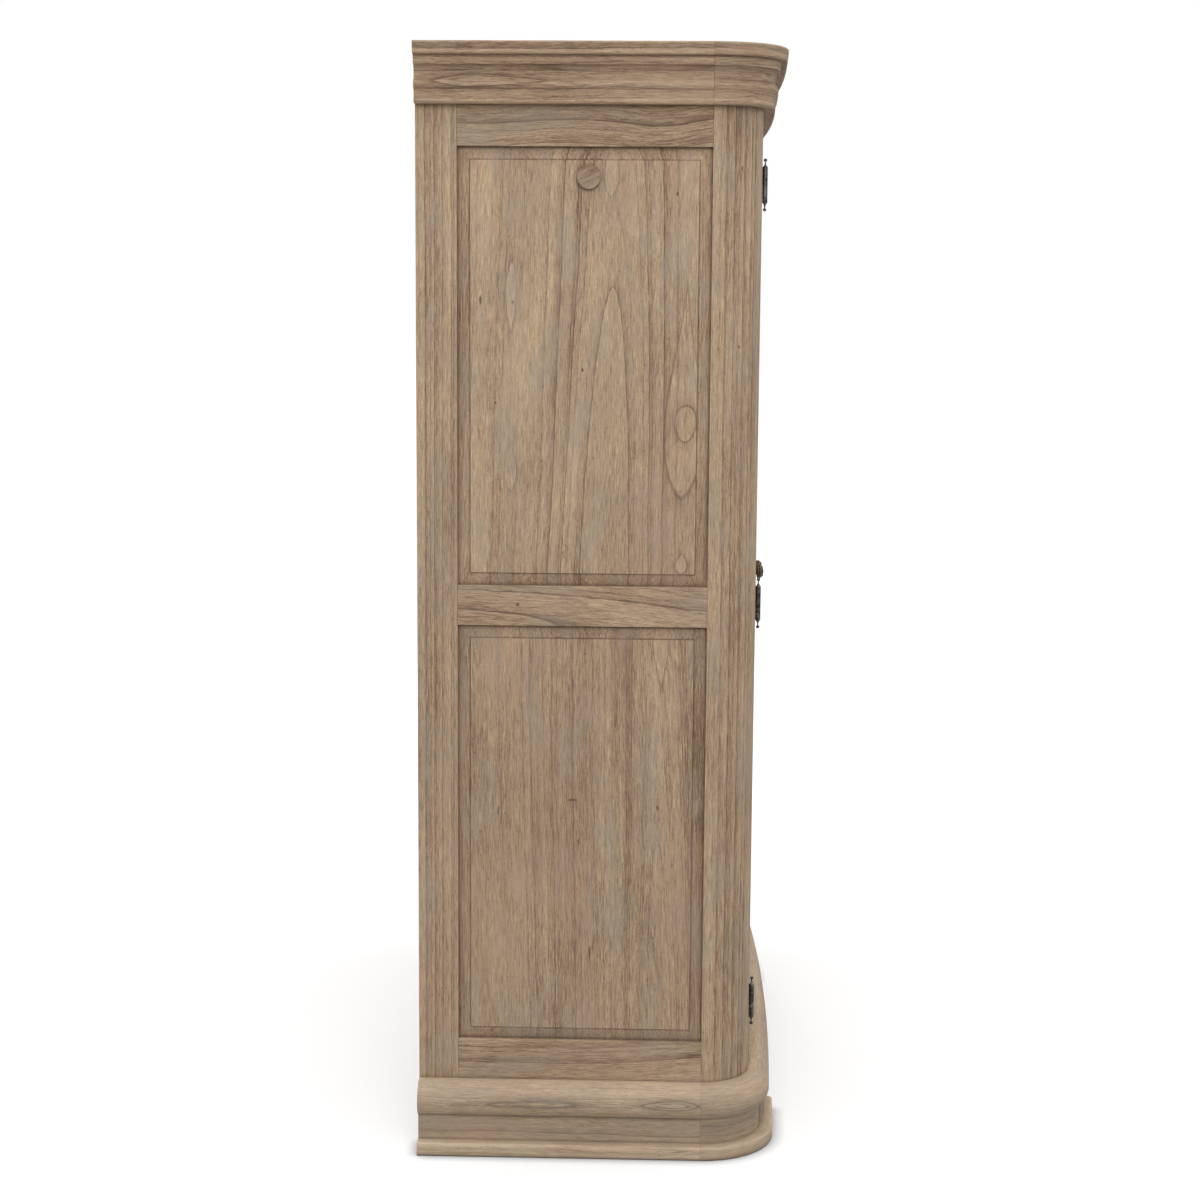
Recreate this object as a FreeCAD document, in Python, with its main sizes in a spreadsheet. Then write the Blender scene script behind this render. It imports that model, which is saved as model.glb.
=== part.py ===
import FreeCAD, Part
import os
import re
import Sketcher
from FreeCAD import Placement, Rotation, Vector

# A two-door bow-front wardrobe in weathered wood. +Z is up, the doors face -Y and
# +X is to the right of someone who stands in front. The origin is the middle of
# the base. Lengths are millimetres and angles are degrees.

SIZES = {
    # carcass
    "tall": 2134,
    "body_width": 1330,
    "body_depth": 650,
    "corner_radius": 95,
    "bow_rise": 13.5,
    "frame_thick": 26,
    "rear_stile_width": 77.5,
    "jamb_reach": 105.5,
    "jamb_depth": 50,
    "groove_depth": 8,
    "groove_play": 0.8,
    "tongue_thick": 6,
    "arris": 1,
    "cut_overrun": 5,
    # side frames
    "top_rail_show": 76,
    "middle_rail_centre": 1084,
    "middle_rail_width": 77,
    "bottom_rail_show": 80,
    "hidden_rail_rise": 60,
    # raised and fielded panels
    "panel_sink": 11,
    "field_sink": 3.5,
    "field_step": 1.8,
    "bevel_width": 25,
    "bevel_gap": 0.5,
    # front rails
    "head_rail_depth": 45,
    "sill_depth": 45,
    # plinth and cornice
    "plinth_height": 142.4,
    "foot_out": 51,
    "front_foot_reach": 145,
    "apron_rise": 52,
    "cornice_height": 111,
    "cornice_out": 46,
    # boards
    "top_recess": 8,
    "top_thick": 18,
    "back_thick": 18,
    "back_panel_thick": 9,
    "back_lap": 12,
    "muntin_width": 70,
    "floor_thick": 20,
    "floor_setback": 26,
    "post_clearance": 5,
    "shelf_height": 430,
    "shelf_thick": 20,
    "ledger_size": 20,
    # clothes rail
    "clothes_rail_drop": 56,
    "clothes_rail_setback": 326,
    "clothes_rail_radius": 15,
    "cap_radius": 22.3,
    "cap_thick": 9,
    "cap_chamfer": 1.5,
    "seat_slip": 0.15,
    # doors
    "door_thick": 24,
    "door_gap": 3,
    "door_rise": 3,
    "door_drop": 2.6,
    "meeting_gap": 4,
    "door_stile_width": 77,
    # hinges
    "low_hinge_rise": 130,
    "top_hinge_drop": 137,
    "hinge_proud": 5.4,
    "knuckle_radius": 5,
    "hinge_reach": 49.5,
    "knuckle_height": 33,
    "knuckle_slip": 0.15,
    "pin_radius": 3,
    "pin_slip": 0.05,
    "pin_length": 24,
    "leaf_thick": 2,
    "leaf_depth": 22,
    "screw_level": 18,
    "screw_setback": 12,
    "screw_head_radius": 4,
    "screw_radius": 2,
    "screw_length": 20,
    # knobs
    "knob_height": 1077,
    "knob_spread": 40,
    "knob_radius": 17,
    "knob_out": 25,
    "knob_stud_radius": 2.5,
    "knob_stud_length": 18,
    # catches
    "catch_length": 46,
    "catch_size": 13,
    "catch_centre": 36,
    "strike_thick": 1.2,
    "strike_margin": 2.6,
    "catch_slip": 0.5,
}

# What follows from the sizes above. Angles about the bow's axis run from straight
# ahead, positive to the right. The cornice reaches furthest forward.
DERIVED = {
    "half_width": "body_width / 2",
    "front": "(cornice_out + bow_rise - body_depth) / 2",
    "rear": "front + body_depth",
    "bow_chord": "half_width - corner_radius",
    "apron_half": "bow_chord - front_foot_reach",
    "bow_reach": "(bow_chord^2 + bow_rise^2) / (2 * bow_rise)",
    "bow_radius": "bow_reach + corner_radius",
    "bow_y": "front - bow_rise + bow_radius",
    "bow_angle": "asin(bow_chord / bow_reach)",
    "carcass_top": "tall - top_recess - top_thick",
    "cornice_base": "tall - cornice_height",
    "rail_top_edge": "cornice_base - top_rail_show",
    "clothes_rail_level": "rail_top_edge - clothes_rail_drop",
    "middle_rail_top": "middle_rail_centre + middle_rail_width / 2",
    "middle_rail_foot": "middle_rail_centre - middle_rail_width / 2",
    "bottom_rail_top": "plinth_height + bottom_rail_show",
    "side_opening": "body_depth - corner_radius - rear_stile_width",
    "jamb_x": "half_width - jamb_reach",
    "door_foot": "plinth_height + door_rise",
    "door_head": "cornice_base - door_drop",
    "door_start": "-asin((jamb_x - door_gap) / bow_radius)",
    "door_end": "-asin(meeting_gap / 2 / bow_radius)",
    "stile_angle": "asin(door_stile_width / bow_radius)",
    "groove_angle": "asin(groove_depth / bow_radius)",
    "play_angle": "asin(groove_play / bow_radius)",
    "door_back": "bow_radius - door_thick",
    "hinge_x": "door_gap / 2 - jamb_x",
    "jamb_face_y": "bow_y - sqrt(bow_radius^2 - jamb_x^2)",
    "hinge_y": "jamb_face_y - hinge_proud",
    "neck_start": "pin_radius + pin_slip + knuckle_slip",
    "low_hinge_level": "door_foot + low_hinge_rise",
    "top_hinge_level": "door_head - top_hinge_drop",
    "middle_hinge_level": "(low_hinge_level + top_hinge_level) / 2",
    "inner_x": "half_width - frame_thick",
    "inner_rear": "rear - back_thick",
    "behind_post": "front + corner_radius + post_clearance",
}

# Mouldings, from the body's face outwards: how far out as a share of the moulding's
# reach, how high as a share of its height, and the bulge of the stretch that leads
# to the next point as a share of its chord, hollow where negative.
CORNICE_SHARES = [
    (0, 1, 0),
    (0.925, 1, 0.15),
    (1, 0.965, 0),
    (0.955, 0.81, 0.15),
    (0.87, 0.784, 0),
    (0.69, 0.784, 0.05),
    (0.64, 0.632, 0),
    (0.55, 0.628, -0.2),
    (0.465, 0.4, 0.3),
    (0.5, 0.235, -0.06),
    (0.415, 0.1, 0.3),
    (0.415, 0, 0),
    (0, 0, 0),
]
PLINTH_SHARES = [
    (0, 1, 0),
    (0.06, 1, 0.165),
    (0.835, 0.79, 0.12),
    (0.67, 0.565, 0),
    (0.45, 0.55, 0),
    (0.47, 0.183, 0),
    (0.9, 0.183, 0.16),
    (1, 0.14, 0),
    (1, 0.03, 0.15),
    (0.95, 0, 0),
    (0, 0, 0),
]

# Turned pieces, as shares of their radius and height, with the same bulge.
FINIAL_SHARES = [
    (0, 1, 0),
    (0.14, 1, 0.42),
    (0.28, 0.885, -0.12),
    (0.84, 0.69, 0),
    (1, 0.667, 0),
]
KNOB_FOOT_SHARE = 0.5
KNOB_SHARES = [
    (KNOB_FOOT_SHARE, 0, 0),
    (KNOB_FOOT_SHARE, 0.08, 0.15),
    (0.4, 0.17, -0.2),
    (0.36, 0.38, -0.12),
    (0.9, 0.46, 0.25),
    (0.97, 0.66, 0.1),
    (0.62, 0.93, 0.06),
    (0, 1, 0),
]

WORD = re.compile(r"[A-Za-z_]\w*")
FAULTY = ("Invalid", "Error")
TOUCH = 1e-6


def formula(text):
    """Spell out the derived names and point every size at its cell."""
    def spell(match):
        name = match.group(0)
        if name in DERIVED:
            return "(" + formula(DERIVED[name]) + ")"
        return "Sizes." + name if name in SIZES else name
    return WORD.sub(spell, str(text))


def value(owner, text):
    """The plain number that a formula has now."""
    result = owner.evalExpression(formula(text))
    return float(getattr(result, "Value", result))


def bind(item, **formulas):
    """Bind properties of an object; a double underscore stands for a dot."""
    for name, text in formulas.items():
        item.setExpression(name.replace("__", "."), formula(text))


def put(item, x=0, y=0, z=0, turn=None):
    """Bind an object's place, and its turn about the upright axis."""
    bind(item, Placement__Base__x=x, Placement__Base__y=y, Placement__Base__z=z)
    if turn is not None:
        bind(item, Placement__Rotation__Angle=turn)


def bow(radius, x):
    """Y of a circle about the bow's axis, at a distance x from the middle."""
    return f"(bow_y - sqrt(({radius})^2 - ({x})^2))"


def arc_radius(start, end, bulge):
    """Radius of an arc whose sagitta is the given share of its chord."""
    chord = f"sqrt((({end[0]}) - ({start[0]}))^2 + (({end[1]}) - ({start[1]}))^2)"
    return f"{chord} * {1 / (8 * abs(bulge)) + abs(bulge) / 2}"


def outline(body, role, points):
    """A closed sketch on one of the body's own planes.

    Each point is a pair of formulas. Where a radius and a side follow them, the
    stretch to the next point is an arc with its centre on that side.
    """
    sketch = body.newObject("Sketcher::SketchObject", body.Name + "_outline")
    plane = [f for f in body.Origin.OriginFeatures if f.Role == role][0]
    sketch.AttachmentSupport = [(plane, "")]
    sketch.MapMode = "FlatFace"
    places = [Vector(value(body, p[0]), value(body, p[1]), 0) for p in points]
    ends = []
    for index, point in enumerate(points):
        here = places[index]
        there = places[(index + 1) % len(points)]
        if len(point) == 2:
            sketch.addGeometry(Part.LineSegment(here, there))
            ends.append((1, 2))
            continue
        size = value(body, point[2])
        left = point[3] == "left"
        middle = (here + there) / 2
        half = (there - here).Length / 2
        across = Vector(here.y - there.y, there.x - here.x, 0).normalize()
        if not left:
            across = -across
        centre = middle + across * max(size * size - half * half, 0) ** 0.5
        first, last = (here, there) if left else (there, here)
        circle = Part.Circle(centre, Vector(0, 0, 1), size)
        sketch.addGeometry(Part.ArcOfCircle(circle, circle.parameter(first), circle.parameter(last)))
        ends.append((1, 2) if left else (2, 1))
    for index, point in enumerate(points):
        following = (index + 1) % len(points)
        joint = (index, ends[index][1], following, ends[following][0])
        sketch.addConstraint(Sketcher.Constraint("Coincident", *joint))
        limits = [("DistanceX", point[0], places[index].x), ("DistanceY", point[1], places[index].y)]
        for kind, text, amount in limits:
            limit = Sketcher.Constraint(kind, -1, 1, index, ends[index][0], amount)
            number = sketch.addConstraint(limit)
            sketch.setExpression(f"Constraints[{number}]", formula(text))
        if len(point) > 2:
            number = sketch.addConstraint(Sketcher.Constraint("Radius", index, value(body, point[2])))
            sketch.setExpression(f"Constraints[{number}]", formula(point[2]))
    return sketch


def shaped(shares, across, along, base="0", sign=1):
    """Points of a moulding or a turned piece, from its table of shares."""
    places = []
    for out, up, bulge in shares:
        places.append((f"{sign} * (({base}) + {out} * ({across}))", f"{up} * ({along})", bulge))
    points = []
    for index, (x, y, bulge) in enumerate(places):
        if bulge == 0:
            points.append((x, y))
            continue
        following = places[(index + 1) % len(places)]
        side = "left" if (bulge > 0) == (sign < 0) else "right"
        points.append((x, y, arc_radius((x, y), following, bulge), side))
    return points


def new_body(label):
    body = document.addObject("PartDesign::Body", label)
    body.Label = label
    return body


def prism(label, points, foot, height):
    """An upright prism over a plan outline."""
    body = new_body(label)
    pad = body.newObject("PartDesign::Pad", label + "_pad")
    pad.Profile = outline(body, "XY_Plane", points)
    bind(pad, Length=height)
    put(body, z=foot)
    return body


def swept(label, points, start, sweep, x=0, y="bow_y", z=0):
    """A ring sector: an outline of radius and height turned about an upright axis."""
    body = new_body(label)
    sketch = outline(body, "YZ_Plane", points)
    turn = body.newObject("PartDesign::Revolution", label + "_turn")
    turn.Profile = sketch
    turn.ReferenceAxis = (sketch, ["V_Axis"])
    bind(turn, Angle=sweep)
    put(body, x, y, z, start)
    return body


def sector(label, inner, outer, start, end, foot, head):
    """A bowed board between two radii, two angles and two levels."""
    points = [(f"-({outer})", "0"), (f"-({inner})", "0")]
    points += [(f"-({inner})", f"({head}) - ({foot})"), (f"-({outer})", f"({head}) - ({foot})")]
    return swept(label, points, start, f"({end}) - ({start})", z=foot)


def turned(label, points, x, y, z, axis=None):
    """A turned piece, whose axis is upright unless another is given."""
    body = new_body(label)
    sketch = outline(body, "XZ_Plane", points)
    turn = body.newObject("PartDesign::Revolution", label + "_turn")
    turn.Profile = sketch
    turn.ReferenceAxis = (sketch, ["V_Axis"])
    turn.Angle = 360
    if axis is not None:
        body.Placement = Placement(Vector(), Rotation(Vector(0, 0, 1), Vector(*axis)))
    put(body, x, y, z)
    return body


def board(label, x, y, z, length, width, height):
    """A straight board along the axes, from its lowest corner."""
    item = document.addObject("Part::Box", label)
    item.Label = label
    bind(item, Length=length, Width=width, Height=height)
    put(item, x, y, z)
    return item


def rod(label, radius, length, x, y, z, axis):
    item = document.addObject("Part::Cylinder", label)
    item.Label = label
    item.Placement = Placement(Vector(), Rotation(Vector(0, 0, 1), Vector(*axis)))
    bind(item, Radius=radius, Height=length)
    put(item, x, y, z)
    return item


def joined(label, members):
    item = document.addObject("Part::MultiFuse", label)
    item.Label = label
    item.Shapes = members
    item.Refine = True
    return item


def grouped(label, members):
    item = document.addObject("Part::Compound", label)
    item.Label = label
    item.Links = members
    return item


def cut(label, base, tool):
    item = document.addObject("Part::Cut", label)
    item.Label = label
    item.Base = base
    item.Tool = tool
    return item


def common(label, base, tool):
    item = document.addObject("Part::Common", label)
    item.Label = label
    item.Base = base
    item.Tool = tool
    return item


def rounded(label, base, shown):
    """Ease the arrises round a board's show face: the edges whose ends the rule accepts."""
    document.recompute()
    radius = value(base, "arris")
    item = document.addObject("Part::Fillet", label)
    item.Label = label
    item.Base = base
    edges = enumerate(base.Shape.Edges, start=1)
    item.Edges = [(n, radius, radius) for n, edge in edges if all(shown(v.Point) for v in edge.Vertexes)]
    return item


def on_side(base):
    """A rule for points in the left side face, or at the front corner of its jamb."""
    face = value(base, "-half_width")
    jamb = Vector(value(base, "-jamb_x"), value(base, "jamb_face_y"), 0)

    def shown(point):
        corner = Vector(point.x, point.y, 0).distanceToPoint(jamb)
        return abs(point.x - face) < TOUCH or corner < TOUCH
    return shown


def on_bow(base):
    """A rule for points in the bowed front face."""
    axis = Vector(0, value(base, "bow_y"), 0)
    radius = value(base, "bow_radius")
    return lambda point: abs(Vector(point.x, point.y, 0).distanceToPoint(axis) - radius) < TOUCH * radius


def mirrored(label, source):
    """The same piece on the other side of the middle plane."""
    item = document.addObject("Part::Mirroring", label)
    item.Label = label
    item.Source = source
    item.Normal = Vector(1, 0, 0)
    return item


def keep(item):
    """Mark a finished piece for export."""
    nodes.append(item)
    return item


def keep_pair(item):
    """Keep a left-hand piece and its mirror image on the right."""
    keep(item)
    keep(mirrored(item.Label.replace("left_", "right_", 1), item))
    return item


def write_sheet():
    sheet = document.addObject("Spreadsheet::Sheet", "Sizes")
    for row, (name, size) in enumerate(SIZES.items(), start=1):
        sheet.set(f"A{row}", name)
        sheet.set(f"B{row}", str(size))
        sheet.setAlias(f"B{row}", name)
    document.recompute()


def build_clothes_rail():
    """A round rail across the top, through both side panels, with turned end caps."""
    length = "2 * (half_width - field_sink)"
    place = ("field_sink - half_width", "front + clothes_rail_setback", "clothes_rail_level")
    keep(rod("clothes_rail", "clothes_rail_radius", length, *place, (1, 0, 0)))
    bore = rod("rail_bore", "clothes_rail_radius + seat_slip", length, *place, (1, 0, 0))
    points = [
        ("0", "0"),
        ("cap_radius", "0"),
        ("cap_radius", "cap_thick - cap_chamfer"),
        ("cap_radius - cap_chamfer", "cap_thick"),
        ("0", "cap_thick"),
    ]
    left = turned("left_cap", points, *place, (-1, 0, 0))
    keep(grouped("clothes_rail_caps", [left, mirrored("right_cap", left)]))
    return bore


def build_side_panel(name, foot, head, bore=None):
    """A raised and fielded panel whose tongue sits in the grooves of its frame."""
    label = f"left_{name}_side_panel"
    x = "panel_sink - half_width"
    y = "front + corner_radius"
    rise = f"({head}) - ({foot})"
    reach = "(groove_depth - groove_play)"
    tongue = board(
        label + "_tongue", x, f"{y} - {reach}", f"({foot}) - {reach}",
        "tongue_thick", f"side_opening + 2 * {reach}", f"{rise} + 2 * {reach}")
    bevel = document.addObject("Part::Wedge", label + "_bevel")
    bevel.Placement = Placement(Vector(), Rotation(Vector(0, 0, 1), 90))
    bind(
        bevel, Xmin="bevel_gap", Xmax="side_opening - bevel_gap",
        Zmin="bevel_gap", Zmax=f"{rise} - bevel_gap",
        X2min="bevel_width", X2max="side_opening - bevel_width",
        Z2min="bevel_width", Z2max=f"{rise} - bevel_width",
        Ymin="0", Ymax="panel_sink - field_sink - field_step")
    put(bevel, x, y, foot)
    field = board(
        label + "_field", "field_sink - half_width", f"{y} + bevel_width", f"({foot}) + bevel_width",
        "panel_sink - field_sink", "side_opening - 2 * bevel_width", f"{rise} - 2 * bevel_width")
    panel = joined(label if bore is None else label + "_blank", [tongue, bevel, field])
    if bore is not None:
        panel = cut(label, panel, bore)
    keep_pair(panel)


def build_side_frame(bore, jamb_cutters):
    """Front post, rear stile and three rails, grooved for the two panels."""
    openings = [("upper", "middle_rail_top", "rail_top_edge"), ("lower", "bottom_rail_top", "middle_rail_foot")]
    grooves = []
    for name, foot, head in openings:
        grooves.append(board(
            f"left_{name}_groove", "panel_sink - half_width", "front + corner_radius - groove_depth",
            f"({foot}) - groove_depth", "tongue_thick", "side_opening + 2 * groove_depth",
            f"({head}) - ({foot}) + 2 * groove_depth"))
        build_side_panel(name, foot, head, bore if name == "upper" else None)
    grooves = grouped("left_grooves", grooves)

    corner_x = "corner_radius - corner_radius * sin(bow_angle) - half_width"
    corner_y = "front + corner_radius - corner_radius * cos(bow_angle)"
    points = [
        ("-half_width", "front + corner_radius", "corner_radius", "left"),
        (corner_x, corner_y, "bow_radius", "left"),
        ("-jamb_x", bow("bow_radius", "jamb_x")),
        ("-jamb_x", "front + jamb_depth"),
        ("-inner_x", "front + corner_radius"),
    ]
    post = prism("left_post_blank", points, "0", "carcass_top")
    post = rounded("left_rounded_post", post, on_side(post))
    post = cut("left_grooved_post", post, grooves)
    keep_pair(cut("left_front_post", post, jamb_cutters))

    stile = board(
        "left_stile_blank", "-half_width", "rear - rear_stile_width", "0",
        "frame_thick", "rear_stile_width", "carcass_top")
    stile = rounded("left_rounded_stile", stile, on_side(stile))
    keep_pair(cut("left_rear_stile", stile, grooves))

    rails = [
        ("top", "rail_top_edge", "carcass_top"),
        ("middle", "middle_rail_foot", "middle_rail_top"),
        ("bottom", "hidden_rail_rise", "bottom_rail_top"),
    ]
    for name, foot, head in rails:
        blank = board(
            f"left_{name}_rail_blank", "-half_width", "front + corner_radius", foot,
            "frame_thick", "side_opening", f"({head}) - ({foot})")
        blank = rounded(f"left_rounded_{name}_rail", blank, on_side(blank))
        keep_pair(cut(f"left_side_{name}_rail", blank, grooves))


def build_front_rails():
    """The bowed head rail behind the cornice and the sill behind the plinth."""
    rails = [
        ("front_top_rail", "head_rail_depth", "cornice_base", "carcass_top - cornice_base"),
        ("front_bottom_rail", "sill_depth", "hidden_rail_rise", "plinth_height - hidden_rail_rise"),
    ]
    for label, depth, foot, height in rails:
        inner = f"bow_radius - {depth}"
        points = [
            ("-jamb_x", bow("bow_radius", "jamb_x"), "bow_radius", "left"),
            ("jamb_x", bow("bow_radius", "jamb_x")),
            ("jamb_x", bow(inner, "jamb_x"), inner, "right"),
            ("-jamb_x", bow(inner, "jamb_x")),
        ]
        keep(prism(label, points, foot, height))


def build_boards():
    """Top, floor and shelf, with the ledger strips that carry the last two."""
    corner_x = "(half_width - corner_radius + corner_radius * sin(bow_angle))"
    corner_y = "front + corner_radius - corner_radius * cos(bow_angle)"
    points = [
        ("-half_width", "rear"),
        ("-half_width", "front + corner_radius", "corner_radius", "left"),
        (f"-{corner_x}", corner_y, "bow_radius", "left"),
        (corner_x, corner_y, "corner_radius", "left"),
        ("half_width", "front + corner_radius"),
        ("half_width", "rear"),
    ]
    keep(prism("top_board", points, "carcass_top", "top_thick"))

    edge = "bow_radius - floor_setback"
    nose_x = "(jamb_x - post_clearance)"
    points = [
        ("-inner_x", "inner_rear"),
        ("-inner_x", "behind_post"),
        (f"-{nose_x}", "behind_post"),
        (f"-{nose_x}", bow(edge, nose_x), edge, "left"),
        (nose_x, bow(edge, nose_x)),
        (nose_x, "behind_post"),
        ("inner_x", "behind_post"),
        ("inner_x", "inner_rear"),
    ]
    keep(prism("floor_board", points, "plinth_height", "floor_thick"))

    depth = "inner_rear - (behind_post)"
    keep(board("shoe_shelf", "-inner_x", "behind_post", "shelf_height", "2 * inner_x", depth, "shelf_thick"))

    strips = []
    for name, level in (("floor", "plinth_height"), ("shelf", "shelf_height")):
        strip = board(
            f"left_{name}_ledger", "-inner_x", "behind_post", f"{level} - ledger_size",
            "ledger_size", depth, "ledger_size")
        strips += [strip, mirrored(f"right_{name}_ledger", strip)]
    keep(grouped("ledger_strips", strips))


def build_back():
    """Two panels between the rear stiles, lapped into a middle muntin."""
    height = "carcass_top - hidden_rail_rise"
    half = "muntin_width / 2"
    blank = board("muntin_blank", f"-{half}", "inner_rear", "hidden_rail_rise", "muntin_width", "back_thick", height)
    lap = board(
        "left_lap", f"-{half}", "inner_rear", "hidden_rail_rise", "back_lap", "back_panel_thick", height)
    laps = grouped("laps", [lap, mirrored("right_lap", lap)])
    keep(cut("back_muntin", blank, laps))
    keep_pair(board(
        "left_back_panel", "-inner_x", "inner_rear", "hidden_rail_rise",
        f"inner_x - {half} + back_lap", "back_panel_thick", height))


def build_apron_gap():
    """The opening that is sawn out of the plinth between its two front feet."""
    return board(
        "apron_gap", "-apron_half", "front - bow_rise - foot_out - cut_overrun", "-cut_overrun",
        "2 * apron_half", "bow_rise + foot_out + cut_overrun", "apron_rise + cut_overrun")


def build_moulding(name, shares, out, height, foot, gap=None):
    """A moulding in five lengths: two sides, two round corners and the bowed front."""
    body = new_body(f"left_{name}_side")
    pad = body.newObject("PartDesign::Pad", f"{name}_side_pad")
    pad.Profile = outline(body, "XZ_Plane", shaped(shares, out, height, sign=-1))
    bind(pad, Length="body_depth - corner_radius")
    put(body, "-half_width", "rear", foot)
    keep_pair(body)

    points = shaped(shares, out, height, base="corner_radius", sign=-1)
    keep_pair(swept(
        f"left_{name}_corner", points, "-90 deg", "90 deg - bow_angle",
        x="corner_radius - half_width", y="front + corner_radius", z=foot))

    points = shaped(shares, out, height, base="bow_radius", sign=-1)
    label = f"{name}_front" if gap is None else f"{name}_front_length"
    front = swept(label, points, "-bow_angle", "2 * bow_angle", z=foot)
    keep(front if gap is None else cut(f"{name}_front", front, gap))


def build_hinges():
    """Three lift-off butt hinges on each side, with ball finials and screwed leaves."""
    jamb_leaves, door_leaves, jamb_screws, door_screws = [], [], [], []
    finial = shaped(FINIAL_SHARES, "knuckle_radius", "hinge_reach")
    top_half = finial + [
        ("knuckle_radius", "knuckle_slip"),
        ("pin_radius + pin_slip", "knuckle_slip"),
        ("pin_radius + pin_slip", "pin_length + pin_slip"),
        ("0", "pin_length + pin_slip"),
    ]
    low_half = finial + [
        ("knuckle_radius", "knuckle_slip"),
        ("pin_radius", "knuckle_slip"),
        ("pin_radius", "-pin_length"),
        ("0", "-pin_length"),
    ]
    screw = [
        ("0", "0"),
        ("screw_head_radius", "0"),
        ("screw_radius", "-leaf_thick"),
        ("screw_radius", "-screw_length"),
        ("0", "-screw_length"),
    ]
    for name in ("low", "middle", "top"):
        level = f"{name}_hinge_level"
        door_knuckle = turned(f"{name}_door_knuckle", top_half, "hinge_x", "hinge_y", level)
        jamb_knuckle = turned(f"{name}_jamb_knuckle", low_half, "hinge_x", "hinge_y", level, (0, 0, -1))
        jamb_face = "-jamb_x"
        door_face = "door_gap - jamb_x"
        for side, knuckle, face, leaves, screws, way in (
                ("jamb", jamb_knuckle, jamb_face, jamb_leaves, jamb_screws, 1),
                ("door", door_knuckle, door_face, door_leaves, door_screws, -1)):
            x = f"{face} - leaf_thick" if way > 0 else face
            whole = board(
                f"{name}_{side}_leaf", x, "jamb_face_y", f"{level} - knuckle_height",
                "leaf_thick", "leaf_depth", "2 * knuckle_height")
            low = f"{level} - knuckle_height" if way > 0 else f"{level} + knuckle_slip"
            neck = board(
                f"{name}_{side}_neck", x, "hinge_y + neck_start", low,
                "leaf_thick", "hinge_proud - neck_start", "knuckle_height - knuckle_slip")
            leaves.append((knuckle, whole, neck))
            for spot, lift in (("lower", "-screw_level"), ("upper", "screw_level")):
                screws.append(turned(
                    f"{name}_{side}_{spot}_screw", screw, face, "jamb_face_y + screw_setback",
                    f"{level} + {lift}", (way, 0, 0)))
    kept = {}
    for side, leaves, screws in (("jamb", jamb_leaves, jamb_screws), ("door", door_leaves, door_screws)):
        screws = grouped(f"left_{side}_screws", screws)
        halves = []
        for knuckle, whole, neck in leaves:
            blank = joined(whole.Label + "_blank", [knuckle, whole, neck])
            halves.append(cut(whole.Label + "_half", blank, screws))
        halves = grouped(f"left_{side}_halves", halves)
        plates = [plate for leaf in leaves for plate in leaf[1:]]
        cutters = joined(f"left_{side}_cutters", plates + [screws])
        kept[side] = (halves, screws, cutters)
    return kept


def build_door(cutters):
    """The left door: two stiles, three rails and two fielded panels, all on the bow."""
    levels = [
        ("upper", "middle_rail_top", "rail_top_edge"),
        ("lower", "bottom_rail_top", "middle_rail_foot"),
    ]
    left = "door_start + stile_angle"
    right = "door_end - stile_angle"
    face = "bow_radius - panel_sink"
    back = "bow_radius - panel_sink - tongue_thick"
    grooves = []
    for name, foot, head in levels:
        grooves.append(sector(
            f"door_{name}_groove", back, face, f"{left} - groove_angle", f"{right} + groove_angle",
            f"({foot}) - groove_depth", f"({head}) + groove_depth"))
        build_door_panel(name, foot, head, left, right)
    grooves = grouped("door_grooves", grooves)

    blank = sector("hinge_stile_blank", "door_back", "bow_radius", "door_start", left, "door_foot", "door_head")
    blank = rounded("rounded_hinge_stile", blank, on_bow(blank))
    blank = cut("grooved_hinge_stile", blank, grooves)
    keep_pair(cut("left_door_hinge_stile", blank, cutters))

    blank = sector("meeting_stile_blank", "door_back", "bow_radius", right, "door_end", "door_foot", "door_head")
    blank = rounded("rounded_meeting_stile", blank, on_bow(blank))
    blank = cut("grooved_meeting_stile", blank, grooves)
    stud = rod(
        "stud_hole", "knob_stud_radius", "knob_stud_length + cut_overrun", "-knob_spread",
        bow("bow_radius", "knob_spread") + " + knob_stud_length", "knob_height", (0, -1, 0))
    keep_pair(cut("left_door_meeting_stile", blank, stud))

    rails = [
        ("top", "rail_top_edge", "door_head"),
        ("middle", "middle_rail_foot", "middle_rail_top"),
        ("bottom", "door_foot", "bottom_rail_top"),
    ]
    for name, foot, head in rails:
        blank = sector(f"door_{name}_rail_blank", "door_back", "bow_radius", left, right, foot, head)
        blank = cut(f"grooved_door_{name}_rail", blank, grooves)
        keep_pair(rounded(f"left_door_{name}_rail", blank, on_bow(blank)))


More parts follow.
